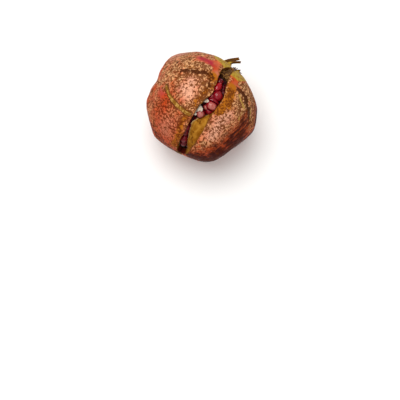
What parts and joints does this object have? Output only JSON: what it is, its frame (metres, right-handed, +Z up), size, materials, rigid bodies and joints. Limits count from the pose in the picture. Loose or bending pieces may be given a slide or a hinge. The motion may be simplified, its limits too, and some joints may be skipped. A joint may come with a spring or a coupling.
{
  "type": "open pomegranate",
  "caption": "Ripe pomegranate lying on its side, its rind split from near the stem to the crown and baring arils, white septum and the dried calyx cup.",
  "frame": {"origin": "on the surface that the fruit rests on, under the middle of its box", "axes": "+X along the fruit's axis towards the crown, +Z up, +Y to the side of the split's left lip seen from the stem end"},
  "size_m": [0.0838, 0.0807, 0.081],
  "materials": {
    "rind": "leathery rind, coral red under tan speckle and brown scars, soft sheen",
    "arils": "wet, translucent ruby flesh over a pale seed",
    "septum": "thin white membrane, matt",
    "calyx_cup": "dried brown tissue and stamens, rough",
    "stem_stub": "dry bark, rough"
  },
  "bodies": {
    "root": {"rind": "rind", "arils": "arils", "septum": "septum", "calyx_cup": "calyx_cup", "stem_stub": "stem_stub"}
  },
  "joints": []
}
